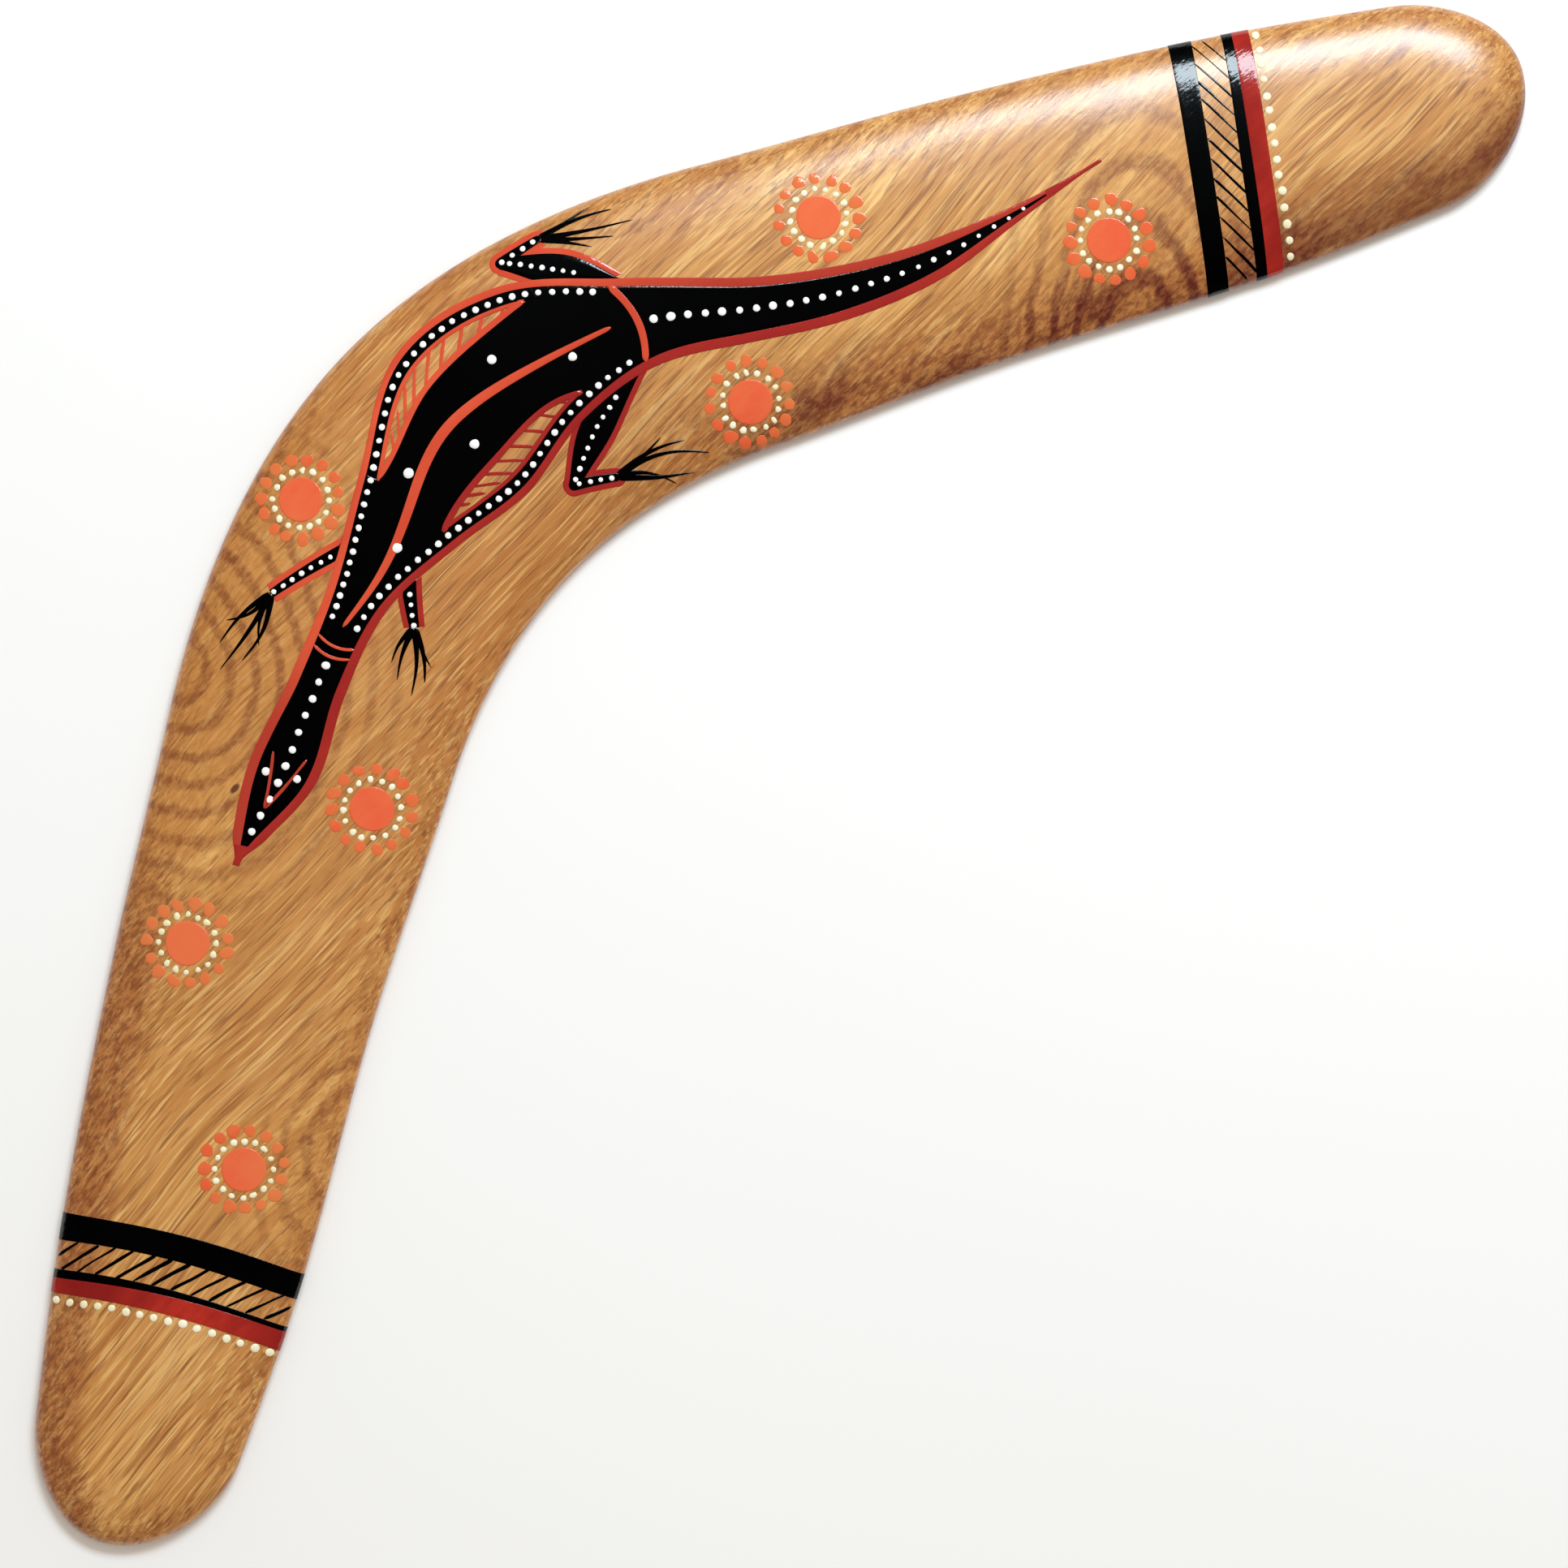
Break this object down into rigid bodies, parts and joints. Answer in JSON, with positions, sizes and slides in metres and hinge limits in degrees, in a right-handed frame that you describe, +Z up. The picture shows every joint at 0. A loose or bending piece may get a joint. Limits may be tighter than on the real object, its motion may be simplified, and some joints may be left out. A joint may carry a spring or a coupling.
{
  "type": "boomerang",
  "caption": "Angled wooden boomerang with a domed, rounded-edge top, a flat underside, and hand-painted bands, dot rosettes and a lizard under clear lacquer.",
  "frame": {"origin": "on the flat underside, at the middle of the elbow on the centreline of the two arms", "axes": "+X from the left tip to the right tip, +Y towards the outside of the elbow, +Z up out of the painted face"},
  "size_m": [0.3996, 0.1359, 0.0086],
  "materials": {
    "lacquered_wood": "one solid board of golden-brown timber, grain straight along X, clear gloss lacquer",
    "black_paint": "black acrylic paint under clear gloss lacquer",
    "red_paint": "brick-red acrylic paint under clear gloss lacquer",
    "orange_paint": "orange acrylic paint under clear gloss lacquer",
    "cream_paint": "cream acrylic paint under clear gloss lacquer",
    "white_paint": "white acrylic paint under clear gloss lacquer"
  },
  "bodies": {
    "root": {"blank": "lacquered_wood", "right_wide_band": "black_paint", "right_hatching": "black_paint", "right_thin_band": "black_paint", "right_red_band": "red_paint", "right_dot_row": "cream_paint", "left_wide_band": "black_paint", "left_hatching": "black_paint", "left_thin_band": "black_paint", "left_red_band": "red_paint", "left_dot_row": "cream_paint", "rosette_1_disc": "orange_paint", "rosette_1_cream_dots": "cream_paint", "rosette_1_orange_dots": "orange_paint", "rosette_2_disc": "orange_paint", "rosette_2_cream_dots": "cream_paint", "rosette_2_orange_dots": "orange_paint", "rosette_3_disc": "orange_paint", "rosette_3_cream_dots": "cream_paint", "rosette_3_orange_dots": "orange_paint", "rosette_4_disc": "orange_paint", "rosette_4_cream_dots": "cream_paint", "rosette_4_orange_dots": "orange_paint", "rosette_5_disc": "orange_paint", "rosette_5_cream_dots": "cream_paint", "rosette_5_orange_dots": "orange_paint", "rosette_6_disc": "orange_paint", "rosette_6_cream_dots": "cream_paint", "rosette_6_orange_dots": "orange_paint", "rosette_7_disc": "orange_paint", "rosette_7_cream_dots": "cream_paint", "rosette_7_orange_dots": "orange_paint", "lizard_body": "black_paint", "lizard_outline": "red_paint", "lizard_back_stripe": "orange_paint", "lizard_rings": "orange_paint", "lizard_outer_panel": "orange_paint", "lizard_inner_panel": "orange_paint", "lizard_spine_dots": "white_paint", "lizard_outer_flank_dots": "white_paint", "lizard_inner_flank_dots": "white_paint", "front_outer_leg": "black_paint", "front_outer_leg_edge": "red_paint", "front_outer_leg_dots": "white_paint", "front_inner_leg": "black_paint", "front_inner_leg_edge": "red_paint", "front_inner_leg_dots": "white_paint", "back_outer_leg": "black_paint", "back_outer_leg_edge": "red_paint", "back_outer_leg_dots": "white_paint", "back_inner_leg": "black_paint", "back_inner_leg_edge": "red_paint", "back_inner_leg_dots": "white_paint"}
  },
  "joints": []
}
